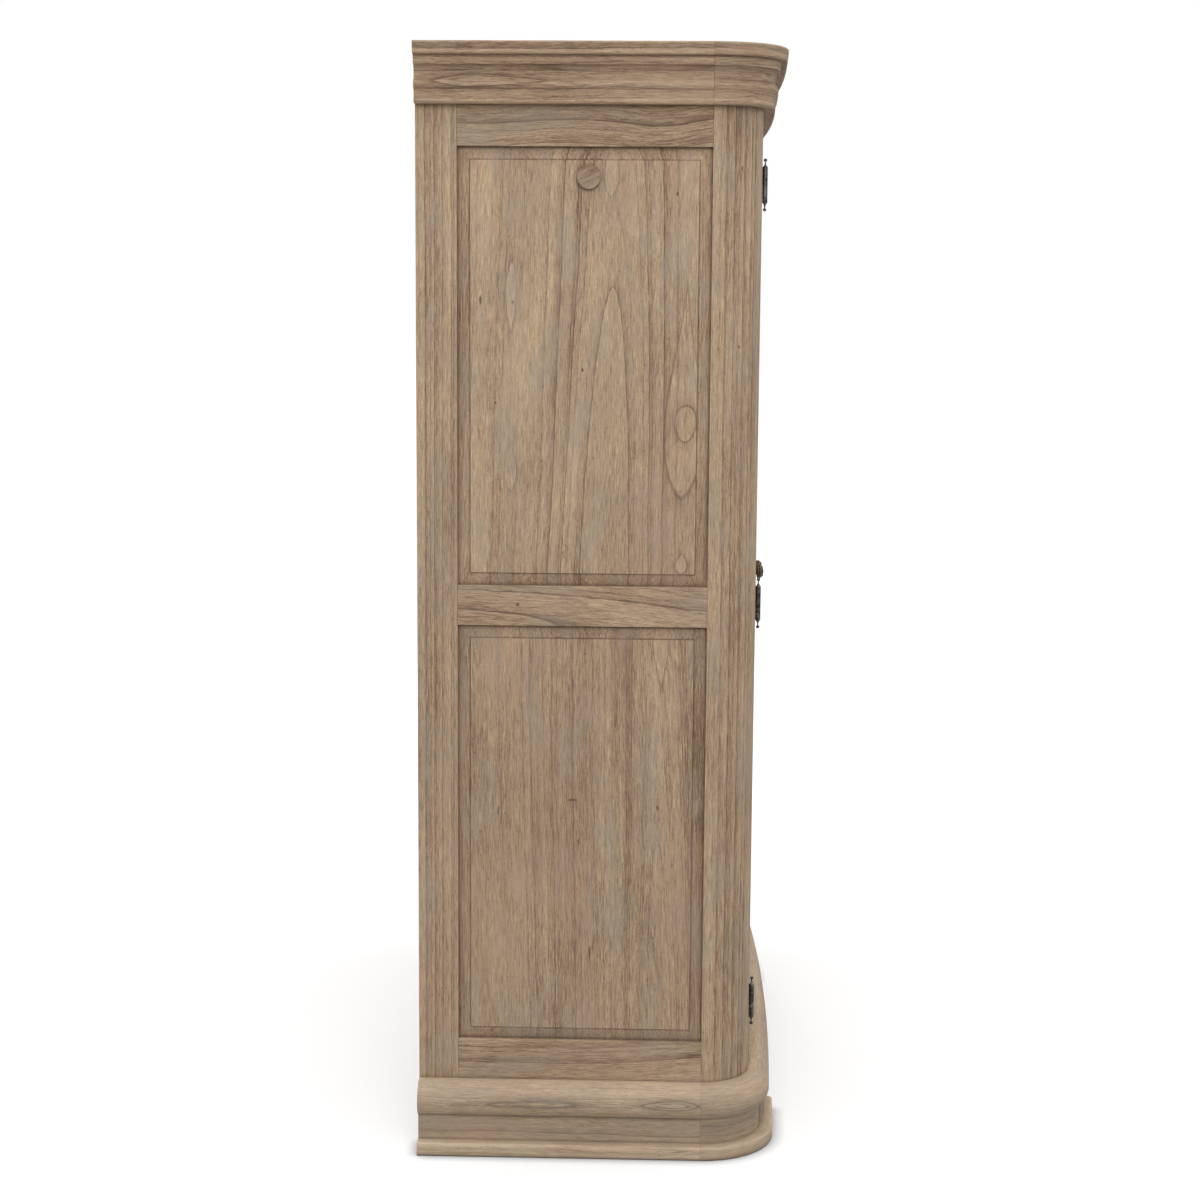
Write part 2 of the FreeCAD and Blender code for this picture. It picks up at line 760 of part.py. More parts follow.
def build_door_panel(name, foot, head, left, right):
    """Bevels above and below come from the turned section, those at the sides from a plan."""
    label = f"left_door_{name}_panel"
    rise = f"({head}) - ({foot})"
    reach = "(groove_depth - groove_play)"
    back = "bow_radius - panel_sink - tongue_thick"
    face = "bow_radius - panel_sink"
    shoulder = "bow_radius - field_sink - field_step"
    field = "bow_radius - field_sink"
    points = [
        (f"-({back})", f"-{reach}"),
        (f"-({back})", f"{rise} + {reach}"),
        (f"-({face})", f"{rise} + {reach}"),
        (f"-({face})", f"{rise} - bevel_gap"),
        (f"-({shoulder})", f"{rise} - bevel_width"),
        (f"-({field})", f"{rise} - bevel_width"),
        (f"-({field})", "bevel_width"),
        (f"-({shoulder})", "bevel_width"),
        (f"-({face})", "bevel_gap"),
        (f"-({face})", f"-{reach}"),
    ]
    start = f"{left} - groove_angle + play_angle"
    end = f"{right} + groove_angle - play_angle"
    section = swept(label + "_section", points, start, f"({end}) - ({start})", z=foot)

    def corner(radius, angle):
        return (f"({radius}) * sin({angle})", f"bow_y - ({radius}) * cos({angle})")

    bevel = "asin(bevel_width / bow_radius)"
    gap = "asin(bevel_gap / bow_radius)"
    plan = [
        corner(back, start),
        corner(face, start),
        corner(face, f"({left} + {gap})"),
        corner(shoulder, f"({left} + {bevel})"),
        corner("bow_radius", f"({left} + {bevel})") + ("bow_radius", "left"),
        corner("bow_radius", f"({right} - {bevel})"),
        corner(shoulder, f"({right} - {bevel})"),
        corner(face, f"({right} - {gap})"),
        corner(face, end),
        corner(back, end) + (back, "right"),
    ]
    block = prism(label + "_plan", plan, f"({foot}) - groove_depth", f"{rise} + 2 * groove_depth")
    keep_pair(common(label, section, block))


def build_knob():
    """A mushroom knob, screwed into the meeting stile by its own stud."""
    points = [("0", "-knob_stud_length"), ("knob_stud_radius", "-knob_stud_length"), ("knob_stud_radius", "0")]
    points += shaped(KNOB_SHARES, "knob_radius", "knob_out")
    face = bow("bow_radius", f"knob_spread - {KNOB_FOOT_SHARE} * knob_radius")
    keep_pair(turned("left_door_knob", points, "-knob_spread", face, "knob_height", (0, -1, 0)))


def build_catches():
    """Magnetic catches under the head rail, and their strike plates on the doors."""
    x = "(-catch_centre - catch_length / 2)"
    inner = "door_back - strike_thick - catch_slip"
    left = board(
        "left_catch", x, bow(inner, "0"), "cornice_base - catch_size",
        "catch_length", "catch_size", "catch_size")
    keep(grouped("door_catches", [left, mirrored("right_catch", left)]))
    start = "-asin((catch_centre + catch_length / 2 - strike_margin) / bow_radius)"
    end = "-asin((catch_centre - catch_length / 2 + strike_margin) / bow_radius)"
    keep_pair(sector(
        "left_door_strike", "door_back - strike_thick", "door_back", start, end,
        "cornice_base - catch_size + strike_margin / 2", "door_head - strike_margin / 2"))


def check():
    """Stop if anything failed to build."""
    for item in document.Objects:
        faults = [word for word in item.State if word in FAULTY]
        if faults:
            raise RuntimeError(f"{item.Label} did not build: {faults}")
    for item in nodes:
        if item.Shape.isNull() or not item.Shape.isValid() or not item.Shape.Solids:
            raise RuntimeError(f"{item.Label} has no valid solid")


document = FreeCAD.newDocument("Wardrobe")
nodes = []
write_sheet()
hinges = build_hinges()
build_side_frame(build_clothes_rail(), hinges["jamb"][2])
build_front_rails()
build_boards()
build_back()
build_moulding("cornice", CORNICE_SHARES, "cornice_out", "cornice_height", "cornice_base")
build_moulding("plinth", PLINTH_SHARES, "foot_out", "plinth_height", "0", build_apron_gap())
build_door(hinges["door"][2])
build_knob()
build_catches()

leaves, screws, cutters = hinges["jamb"]
keep(grouped("hinge_jamb_leaves", [leaves, mirrored("right_jamb_halves", leaves)]))
keep(grouped("hinge_jamb_screws", [screws, mirrored("right_jamb_screws", screws)]))
for label, item in (("left_door_hinge_leaves", hinges["door"][0]), ("left_door_hinge_screws", hinges["door"][1])):
    item.Label = label
    keep_pair(item)

document.recompute()
check()
os.makedirs("parts", exist_ok=True)
for item in nodes:
    item.Shape.exportStep(f"parts/{item.Label}.step")
print(len(nodes), "nodes written")
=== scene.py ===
import math

import bmesh
import bpy
from mathutils import Matrix, Vector


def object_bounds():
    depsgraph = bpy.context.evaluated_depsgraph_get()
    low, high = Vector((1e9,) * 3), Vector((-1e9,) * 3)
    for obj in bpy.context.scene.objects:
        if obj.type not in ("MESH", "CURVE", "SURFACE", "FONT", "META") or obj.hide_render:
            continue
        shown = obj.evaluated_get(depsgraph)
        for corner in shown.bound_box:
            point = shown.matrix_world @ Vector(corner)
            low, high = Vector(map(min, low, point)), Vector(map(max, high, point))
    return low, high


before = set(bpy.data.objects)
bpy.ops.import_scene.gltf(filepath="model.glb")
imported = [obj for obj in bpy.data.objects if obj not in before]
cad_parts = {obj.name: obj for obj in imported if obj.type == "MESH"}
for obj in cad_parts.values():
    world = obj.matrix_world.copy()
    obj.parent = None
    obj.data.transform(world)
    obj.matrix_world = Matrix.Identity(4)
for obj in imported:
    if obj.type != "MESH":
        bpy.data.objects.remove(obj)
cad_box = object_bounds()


# The photograph's view: a long lens at head height, square on to the left side and
# a little in front of its middle, looking slightly down. It was solved from the
# straight edges of the side frame, the cornice and the plinth.
view_place = Vector((-4.82838, -0.12568, 1.67678))
view_heading = math.radians(-88.210)
view_pitch = math.radians(-7.924)
view_roll = math.radians(0.3915)
level_gaze = math.radians(90)
camera = bpy.data.objects.new("camera", bpy.data.cameras.new("camera"))
camera.data.lens = 66.074
camera.data.sensor_width = 36
camera.matrix_world = (
    Matrix.Translation(view_place)
    @ Matrix.Rotation(view_heading, 4, "Z")
    @ Matrix.Rotation(level_gaze + view_pitch, 4, "X")
    @ Matrix.Rotation(view_roll, 4, "Z")
)
bpy.context.scene.collection.objects.link(camera)
bpy.context.scene.camera = camera
bpy.context.scene.view_settings.view_transform = "Standard"


# The studio: a pale seamless floor that throws light back up, an even white sky, and
# wide softboxes round the object, the one at the left side a little stronger.
def add_node(tree, kind, links=(), stops=(), **settings):
    """Add a node; links give its sockets, by name or in order, a node, a socket or a value."""
    node = tree.nodes.new("ShaderNode" + kind)
    for setting, value in settings.items():
        setattr(node, setting, value)
    live = [socket for socket in node.inputs if socket.enabled]
    for place, source in links.items() if isinstance(links, dict) else enumerate(links):
        socket = live[place] if isinstance(place, int) else next(s for s in live if s.name == place)
        if isinstance(source, bpy.types.Node):
            source = next(s for s in source.outputs if s.enabled)
        if isinstance(source, bpy.types.NodeSocket):
            tree.links.new(source, socket)
        else:
            socket.default_value = source
    for index, (place, shade) in enumerate(stops):
        ramp = node.color_ramp.elements
        if 0 < index < len(stops) - 1:
            stop = ramp.new(place)
        else:
            stop = ramp[0 if index == 0 else len(ramp) - 1]
            stop.position = place
        stop.color = shade if hasattr(shade, "__len__") else (shade, shade, shade, 1)
    return node


def colour(code):
    """A linear colour from an sRGB hex code."""
    shares = [int(code[i:i + 2], 16) / 255 for i in (1, 3, 5)]
    return [s / 12.92 if s <= 0.04045 else ((s + 0.055) / 1.055) ** 2.4 for s in shares] + [1]


def new_material(name):
    """An empty node material and its tree."""
    material = bpy.data.materials.new(name)
    material.use_nodes = True
    material.node_tree.nodes.clear()
    return material, material.node_tree


# The sky is plain white to the eye and through clear things, and dimmer as a light.
world = bpy.data.worlds.new("studio")
world.use_nodes = True
world.node_tree.nodes.clear()
sky_light = 0.66
ray = add_node(world.node_tree, "LightPath")
seen = add_node(world.node_tree, "Math", [ray.outputs["Is Camera Ray"], ray.outputs["Is Transmission Ray"]],
                operation="MAXIMUM")
level = add_node(world.node_tree, "MapRange", {"Value": seen, "To Min": sky_light, "To Max": 1.0})
sky = add_node(world.node_tree, "Background", {"Color": colour("#ffffff"), "Strength": level})
add_node(world.node_tree, "OutputWorld", {"Surface": sky})
bpy.context.scene.world = world

# Matt paint on the floor, hardly mottled. To the camera it is lifted towards white, the
# more so further out, but not in the first 30 mm round the plinth, left dark as painted contact shadow.
paint_dark, paint_light = 0.49, 0.52
lift_near, lift_far = 0.46, 0.72
lift_starts, lift_ends = 1.0, 6.0
painted_shadow_reach = 0.03
half_floor = 60
material, tree = new_material("pale_floor_paint")
ray = add_node(tree, "LightPath")
mottle = add_node(tree, "TexNoise", {"Scale": 3.0, "Detail": 3.0})
paint = add_node(tree, "MapRange", {"Value": mottle, "To Min": paint_dark, "To Max": paint_light})
matt = add_node(tree, "BsdfDiffuse", {"Color": paint})
place = add_node(tree, "TexCoord").outputs["Object"]
away = add_node(tree, "VectorMath", [place], operation="LENGTH").outputs["Value"]
away = add_node(tree, "MapRange", {"Value": away, "From Min": lift_starts, "From Max": lift_ends,
                                   "To Min": lift_near, "To Max": lift_far})
lift = add_node(tree, "Math", [ray.outputs["Is Camera Ray"], away], operation="MULTIPLY")
# Painted contact shadow: the lift fades where the plinth hides the floor within 30 mm.
outside_painted_shadow = add_node(tree, "AmbientOcclusion", {"Distance": painted_shadow_reach}, samples=8).outputs["AO"]
outside_painted_shadow = add_node(tree, "MapRange", {"Value": outside_painted_shadow, "From Min": 0.5, "From Max": 1.0})
lift = add_node(tree, "Math", [lift, outside_painted_shadow], operation="MULTIPLY")
glow = add_node(tree, "Emission", {"Color": colour("#ffffff"), "Strength": lift})
floor_finish = add_node(tree, "AddShader", [matt, glow])
add_node(tree, "OutputMaterial", {"Surface": floor_finish})
mesh = bmesh.new()
bmesh.ops.create_grid(mesh, x_segments=1, y_segments=1, size=half_floor)
floor_mesh = bpy.data.meshes.new("floor")
mesh.to_mesh(floor_mesh)
mesh.free()
floor_mesh.materials.append(material)
floor = bpy.data.objects.new("floor", floor_mesh)
bpy.context.scene.collection.objects.link(floor)

# Where each softbox hangs, how wide it is in metres, and its power in watts.
target = (cad_box[0] + cad_box[1]) / 2
softboxes = {
    "side_softbox": ((-4.6, -0.25, 3.5), 2.8, 78),
    "front_softbox": ((1.2, -5.0, 3.4), 2.6, 60),
    "right_softbox": ((4.6, 0.3, 3.5), 2.8, 76),
    "rear_softbox": ((0.4, 5.0, 3.5), 2.8, 72),
    "overhead_softbox": ((-1.2, -0.2, 5.6), 3.0, 120),
}
for name, (place, width, power) in softboxes.items():
    light = bpy.data.objects.new(name, bpy.data.lights.new(name, "AREA"))
    light.data.shape = "DISK"
    light.data.size = width
    light.data.energy = power
    aim = (target - Vector(place)).to_track_quat("-Z", "Y").to_matrix().to_4x4()
    light.matrix_world = Matrix.Translation(place) @ aim
    bpy.context.scene.collection.objects.link(light)


# Front posts and rear stiles: solid mindi, sawn near the heart so that its dark
# growth lines run straight up, sanded, wire-brushed and limed to a grey brown. The
# liming greys it in patches, so that it looks dry and a little dusty.
def unrolled(tree, place, bend):
    """Lay a round corner or a bowed front out flat, so that the grain follows the curve."""
    centre_x, centre_y, radius = bend
    parts = add_node(tree, "SeparateXYZ", [place]).outputs
    right = add_node(tree, "Math", [parts["X"], centre_x], operation="SUBTRACT")
    ahead = add_node(tree, "Math", [centre_y, parts["Y"]], operation="SUBTRACT")
    angle = add_node(tree, "Math", [right, ahead], operation="ARCTAN2")
    around = add_node(tree, "Math", [angle, radius, centre_x], operation="MULTIPLY_ADD")
    out = add_node(tree, "CombineXYZ", [right, ahead, 0.0])
    out = add_node(tree, "VectorMath", [out], operation="LENGTH").outputs["Value"]
    out = add_node(tree, "Math", [centre_y, out], operation="SUBTRACT")
    return add_node(tree, "CombineXYZ", [around, out, parts["Z"]])


def streaks(tree, grain, wide, long, detail, seed, roughness=0.5):
    """Noise whose blotches are that wide across the grain and that long along it, in metres."""
    fineness = (1 / wide, 1 / wide, 1 / long)
    shift = (seed * 3.7, seed * 1.9, seed * 2.3)
    scaled = add_node(tree, "VectorMath", [grain, fineness, shift], operation="MULTIPLY_ADD")
    return add_node(tree, "TexNoise", {"Vector": scaled, "Scale": 1.0, "Detail": detail,
                                       "Roughness": roughness})


# A strong line starts sharply and dies away outwards, between 4 mm before its place and
# 16 mm after it. That is coarser than a real one, which would be lost in the render.
line_before, line_after = -0.004, 0.016
line_darkness = ((0.14, 0.0), (0.2, 1.0), (0.28, 0.42), (0.5, 0.25), (1.0, 0.0))
eye_darkness = ((0.13, 0.0), (0.2, 1.0), (0.28, 0.35), (0.5, 0.15), (1.0, 0.0))
faint_line_width = 0.0035


def ring_marks(tree, board, number, seed, cross, length, dip):
    """One board's growth rings: how dark their lines are, and the paler wood between them.

    A ring shows where the distance from the heart, across and behind the surface, is a
    whole number of ring widths. Where the surface cuts the rings at a slant they spread.
    The seed moves the rings, and deals each of them a darkness of its own.
    """
    least_slope, widest_spread = 0.03, 30.0
    faintest, strongest = 0.04, 0.36
    heart, taper, width = board["heart"], board["taper"], board["ring"]
    off = add_node(tree, "Math", [cross, heart], operation="SUBTRACT")
    deep = add_node(tree, "Math", [length, taper, board["depth"]], operation="MULTIPLY_ADD")
    deep = add_node(tree, "Math", [deep, dip], operation="ADD")
    reach = add_node(tree, "CombineXYZ", [off, deep, 0.0])
    reach = add_node(tree, "VectorMath", [reach], operation="LENGTH").outputs["Value"]
    slope = add_node(tree, "Math", [deep, max(abs(taper), least_slope)], operation="MULTIPLY")
    slope = add_node(tree, "CombineXYZ", [off, slope, 0.0])
    slope = add_node(tree, "VectorMath", [slope], operation="LENGTH").outputs["Value"]
    spread = add_node(tree, "Math", [reach, slope], operation="DIVIDE")
    spread = add_node(tree, "Math", [spread, widest_spread], operation="MINIMUM")

    count = add_node(tree, "Math", [reach, 1 / width, seed * 0.37], operation="MULTIPLY_ADD")
    phase = add_node(tree, "Math", [count], operation="FRACT")
    count = add_node(tree, "Math", [count], operation="FLOOR")
    count = add_node(tree, "Math", [count, seed * 0.61 + number * 7.3], operation="ADD")
    dice = add_node(tree, "TexWhiteNoise", {"W": count}, noise_dimensions="1D").outputs["Value"]
    force = add_node(tree, "MapRange", {"Value": dice, "To Min": faintest, "To Max": strongest})
    near = add_node(tree, "Math", [phase, width], operation="MULTIPLY")
    near = add_node(tree, "Math", [near, spread], operation="MULTIPLY")
    near = add_node(tree, "MapRange", {"Value": near, "From Max": faint_line_width,
                                       "To Min": 1.0, "To Max": 0.0})
    lines = add_node(tree, "Math", [near, force], operation="MULTIPLY")

    for spot, dark in board["lines"]:
        ring = math.hypot(spot - heart, board["depth"])
        away = add_node(tree, "Math", [reach, ring], operation="SUBTRACT")
        away = add_node(tree, "Math", [away, spread], operation="MULTIPLY")
        away = add_node(tree, "MapRange", {"Value": away, "From Min": line_before, "From Max": line_after})
        mark = add_node(tree, "ValToRGB", [away], line_darkness)
        lines = add_node(tree, "Math", [mark, dark, lines], operation="MULTIPLY_ADD")
    pale = add_node(tree, "Math", [1.0, phase], operation="SUBTRACT")
    pale = add_node(tree, "Math", [pale, force], operation="MULTIPLY")
    return lines, pale


def eye_marks(tree, shape, pale, cross, length, middle, drift):
    """A closed figure round a pin knot: the dark line round it, and the paler wood inside."""
    spot, level, wide, long, sharp, skew = shape
    narrowest = wide * 0.2
    aside = add_node(tree, "Math", [cross, spot + (level - middle) * drift], operation="SUBTRACT")
    above = add_node(tree, "Math", [length, level - middle], operation="SUBTRACT")
    above = add_node(tree, "Math", [above, 1 / long], operation="MULTIPLY")
    girth = add_node(tree, "Math", [above, skew * wide, wide], operation="MULTIPLY_ADD")
    girth = add_node(tree, "Math", [girth, narrowest], operation="MAXIMUM")
    aside = add_node(tree, "Math", [aside, girth], operation="DIVIDE")
    aside = add_node(tree, "Math", [aside], operation="ABSOLUTE")
    aside = add_node(tree, "Math", [aside, sharp], operation="POWER")
    edge = add_node(tree, "Math", [above, above, aside], operation="MULTIPLY_ADD")
    away = add_node(tree, "Math", [edge, -1.0], operation="ADD")
    away = add_node(tree, "MapRange", {"Value": away, "From Min": line_before * sharp / wide,
                                       "From Max": line_after * sharp / wide})
    mark = add_node(tree, "ValToRGB", [away], eye_darkness)
    inside = add_node(tree, "MapRange", {"Value": edge, "From Min": 0.85, "From Max": 1.0,
                                         "To Min": pale, "To Max": 0.0})
    return mark, inside


def weathered_wood(name, along, across, boards, seed, middle=0.0, face=0.0, drift=0.0, wander=0.003,
                   wave=0.35, ragged=0.0005, eyes=(), specks=(), bend=None, sunk=0, tone=0.0,
                   lime=(0.0, 0.4), course=()):
    """Open-grained wood whose growth rings are cut by the piece's own surfaces, in metres.

    along, across: the axes that the grain and the boards' edges follow.
    boards: each gives where the tree's heart lies across and behind it, how fast that
        depth changes along the grain, its ring width, and the strong lines: where each
        shows at the middle of the piece, and how dark it is. All but the first say where
        they start.
    seed: a number of the piece's own, which moves every pattern.
    middle, face: the piece's middle along the grain, and its outer face.
    drift: how much the grain leans over; wander, wave: how far and in what length it sways.
    ragged: how rough the lines' edges are.
    eyes: closed figures: place across and along, half width, half length, how pointed
        (1 is pointed, 2 round), how much wider one end is, darkness, paleness inside.
    specks: pin knots and dents: place across and along, half width, half length.
    bend: centre and radius of a round corner or a bowed front.
    sunk: on a fielded panel the side that its surface sinks to, 1 or -1.
    tone: paler above 0; lime: the least and the most of the grey liming.
    course: how far the grain climbs, at even steps along a side rail.
    """
    material, tree = new_material(name)
    place = add_node(tree, "TexCoord").outputs["Object"]
    if bend:
        place = unrolled(tree, place, bend)
    parts = add_node(tree, "SeparateXYZ", [place]).outputs
    depth = ({"X", "Y", "Z"} - {along, across}).pop()
    length = add_node(tree, "Math", [parts[along], middle], operation="SUBTRACT")
    inward = add_node(tree, "Math", [parts[depth], face], operation="SUBTRACT")

    # The grain sways slowly, and its lines' edges break in chips of 5 by 22 mm. Noise
    # seldom leaves the range from 0.3 to 0.7.
    low, high = 0.3, 0.7
    sway_width = wave * 0.4
    straight_grain = add_node(tree, "CombineXYZ", [parts[across], inward, length])
    bends = streaks(tree, straight_grain, sway_width, wave, 1.5, seed)
    bends = add_node(tree, "SeparateXYZ", [bends.outputs["Color"]]).outputs
    chips = streaks(tree, straight_grain, 0.005, 0.022, 2.0, seed, 0.6)
    lean = add_node(tree, "MapRange", {"Value": bends["X"], "From Min": low, "From Max": high,
                                       "To Min": -wander, "To Max": wander}, clamp=False)
    notch = add_node(tree, "MapRange", {"Value": chips, "From Min": low, "From Max": high,
                                        "To Min": -ragged, "To Max": ragged}, clamp=False)
    lean = add_node(tree, "Math", [lean, notch], operation="ADD")
    lean = add_node(tree, "Math", [length, drift, lean], operation="MULTIPLY_ADD")
    if course:
        half_rail = 0.245
        climb_span = 0.06
        level_course = 0.5
        share = add_node(tree, "MapRange", {"Value": length, "From Min": -half_rail, "From Max": half_rail})
        climb = add_node(tree, "ValToRGB", [share], [
            (step / (len(course) - 1), level_course + rise / climb_span)
            for step, rise in enumerate(course)])
        climb.color_ramp.interpolation = "CARDINAL"
        start_level = climb_span * level_course
        climb = add_node(tree, "Math", [climb, -climb_span, start_level], operation="MULTIPLY_ADD")
        lean = add_node(tree, "Math", [lean, climb], operation="ADD")
    cross = add_node(tree, "Math", [parts[across], lean], operation="ADD")
    grain = add_node(tree, "CombineXYZ", [cross, inward, length])
    deepest_dip = 0.3 * wander
    notch_depth = 0.12
    dip = add_node(tree, "MapRange", {"Value": bends["Y"], "From Min": low, "From Max": high,
                                      "To Min": -deepest_dip, "To Max": deepest_dip}, clamp=False)
    dip = add_node(tree, "Math", [notch, notch_depth, dip], operation="MULTIPLY_ADD")
    dip = add_node(tree, "Math", [dip, inward], operation="ADD")

    # Growth rings, board by board from one edge to the other.
    lines, fade, strip = None, None, 0.0
    for number, board in enumerate(boards):
        here, pale = ring_marks(tree, board, number, seed, cross, length, dip)
        if lines is None:
            lines, fade = here, pale
            continue
        beyond = add_node(tree, "Math", [parts[across], board["start"]], operation="GREATER_THAN")
        lines = add_node(tree, "Mix", [beyond, lines, here])
        fade = add_node(tree, "Mix", [beyond, fade, pale])
        strip = add_node(tree, "Math", [strip, beyond], operation="ADD")

    # Eyes; on a fielded panel they stay on the raised field, off its bevels. How far a
    # point lies below the field is in centimetres, to suit a colour ramp.
    centimetres = 100
    if sunk:
        below = add_node(tree, "Math", [inward, sunk * centimetres], operation="MULTIPLY")
        on_field = add_node(tree, "MapRange", {"Value": below, "From Min": 0.01, "From Max": 0.05,
                                               "To Min": 1.0, "To Max": 0.0})
    heartwood = 0.0
    for *shape, dark, pale in eyes:
        mark, inside = eye_marks(tree, shape, pale, cross, length, middle, drift)
        if sunk:
            mark = add_node(tree, "Math", [mark, on_field], operation="MULTIPLY")
        lines = add_node(tree, "Math", [mark, dark, lines], operation="MULTIPLY_ADD")
        heartwood = add_node(tree, "Math", [inside, heartwood], operation="ADD")

    # The tone: clouds of 60 by 340 mm, bands of 9 mm, and fibres and pores. Real fibres
    # and pores are about 0.3 mm wide, too fine to show: they are drawn 1.7 mm wide. The
    # pores are many in the early wood of a ring and few in its late wood.
    clouds = streaks(tree, grain, 0.06, 0.34, 3.0, seed, 0.55)
    bands = streaks(tree, grain, 0.009, 0.6, 3.0, seed, 0.6)
    fibres = streaks(tree, grain, 0.0017, 0.032, 3.0, seed, 0.72)
    cells = streaks(tree, grain, 0.0017, 0.007, 1.0, seed)
    cloud_part, band_part, fibre_part = 0.6, 0.3, 1.6
    board_part, ring_part, line_part, pore_part = 0.08, -0.12, -0.55, -0.19
    mid_tone = 0.52
    hue = add_node(tree, "Math", [strip, seed * 1.37], operation="ADD")
    hue = add_node(tree, "TexWhiteNoise", {"W": hue}, noise_dimensions="1D").outputs["Value"]
    base = mid_tone + tone - (cloud_part + band_part + fibre_part) / 2
    light = add_node(tree, "Math", [clouds, cloud_part, base], operation="MULTIPLY_ADD")
    light = add_node(tree, "Math", [bands, band_part, light], operation="MULTIPLY_ADD")
    light = add_node(tree, "Math", [fibres, fibre_part, light], operation="MULTIPLY_ADD")
    light = add_node(tree, "Math", [hue, board_part, light], operation="MULTIPLY_ADD")
    light = add_node(tree, "Math", [heartwood, light], operation="ADD")
    light = add_node(tree, "Math", [fade, ring_part, light], operation="MULTIPLY_ADD")
    light = add_node(tree, "Math", [lines, line_part, light], operation="MULTIPLY_ADD")
    early_wood, late_wood = 0.55, 0.62
    solid = add_node(tree, "MapRange", {"Value": fade, "From Max": 0.5,
                                        "To Min": late_wood, "To Max": early_wood})
    pores = add_node(tree, "Math", [cells, solid], operation="SUBTRACT")
    pores = add_node(tree, "MapRange", {"Value": pores, "From Min": 0.0, "From Max": 0.09})
    light = add_node(tree, "Math", [pores, pore_part, light], operation="MULTIPLY_ADD")

    # The step down from a raised field and its bevel are darkened, partly by stain and partly as painted
    # shade in the recess, darkest at the step's foot, 2 mm below.
    if sunk:
        stain_and_painted_shade = add_node(tree, "ValToRGB", [below], (
            (0.02, 0.0), (0.08, 0.3), (0.19, 0.5), (0.27, 0.06), (0.75, 0.1)))
        light = add_node(tree, "Math", [light, stain_and_painted_shade], operation="SUBTRACT")

    # Pin knots and dents are small dark ovals with soft edges.
    speck_dark = -0.75
    for spot, level, wide, long in specks:
        aside = add_node(tree, "Math", [parts[across], -spot], operation="ADD")
        above = add_node(tree, "Math", [parts[along], -level], operation="ADD")
        away = add_node(tree, "CombineXYZ", [aside, above, 0.0])
        away = add_node(tree, "VectorMath", [away, (1 / wide, 1 / long, 0)], operation="MULTIPLY")
        away = add_node(tree, "VectorMath", [away], operation="LENGTH").outputs["Value"]
        away = add_node(tree, "MapRange", {"Value": away, "From Min": 0.6, "From Max": 1.3,
                                           "To Min": speck_dark, "To Max": 0.0})
        light = add_node(tree, "Math", [light, away], operation="ADD")

    # From a brown in the pores to a dry straw colour, greyed by lime in patches of 45 by
    # 160 mm, with a pinker cast here and there and brown painted shade in the inner corners.
    body = add_node(tree, "ValToRGB", [light], (
        (0.0, colour("#64503f")), (0.28, colour("#866f58")), (0.5, colour("#a1896e")),
        (0.72, colour("#b59d80")), (1.0, colour("#ceb696"))))
    lime_grey, pink_cast, painted_shade_brown = colour("#9b9182"), colour("#ad8d75"), colour("#57463a")
    least_lime, most_lime = lime
    most_pink, most_painted_shade = 0.25, 0.6
    painted_shade_reach = 0.008
    patches = streaks(tree, grain, 0.045, 0.16, 3.0, seed, 0.6)
    limed = add_node(tree, "MapRange", {"Value": patches, "From Min": 0.45, "From Max": 0.66,
                                        "To Min": least_lime, "To Max": most_lime})
    body = add_node(tree, "Mix", {"Factor": limed, "A": body, "B": lime_grey}, data_type="RGBA")
    blush = add_node(tree, "MapRange", {"Value": bends["Z"], "From Min": 0.5, "From Max": 0.7,
                                        "To Max": most_pink})
    body = add_node(tree, "Mix", {"Factor": blush, "A": body, "B": pink_cast}, data_type="RGBA")
    # Painted shade: the colour turns brown where other surfaces lie within 8 mm, in inner corners and
    # recesses.
    shade_occlusion = add_node(tree, "AmbientOcclusion", {"Distance": painted_shade_reach}, samples=6)
    painted_shade = add_node(tree, "MapRange", {"Value": shade_occlusion.outputs["AO"], "From Min": 0.3, "From Max": 0.9,
                                       "To Min": most_painted_shade, "To Max": 0.0})
    body = add_node(tree, "Mix", {"Factor": painted_shade, "A": body, "B": painted_shade_brown}, data_type="RGBA")

    # Wire brushing leaves the fibres up to 0.6 mm proud and the lines and pores hollow,
    # and the bare, unvarnished wood has only a weak broad sheen.
    brushed_depth = 0.0006
    fibre_rise, pore_rise, line_rise = 0.6, -0.6, -0.4
    relief = add_node(tree, "Math", [fibres, fibre_rise], operation="MULTIPLY")
    relief = add_node(tree, "Math", [pores, pore_rise, relief], operation="MULTIPLY_ADD")
    relief = add_node(tree, "Math", [lines, line_rise, relief], operation="MULTIPLY_ADD")
    bump = add_node(tree, "Bump", {"Height": relief, "Strength": 0.6, "Distance": brushed_depth})
    rough = add_node(tree, "MapRange", {"Value": fibres, "To Min": 0.62, "To Max": 0.72})
    finish = add_node(tree, "BsdfPrincipled", {"Base Color": body, "Roughness": rough, "Normal": bump,
                                               "Specular IOR Level": 0.3})
    add_node(tree, "OutputMaterial", {"Surface": finish})
    return material


def dress(node, material):
    """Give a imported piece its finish."""
    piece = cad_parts[node]
    piece.data.materials.clear()
    piece.data.materials.append(material)


def quarter_sawn(ring, *lines, heart=-0.8):
    """A board whose heart is far aside: near-parallel lines, the strong ones at given places."""
    return [dict(heart=lines[0][0] + heart, depth=0.05, taper=0.0, ring=ring, lines=lines)]


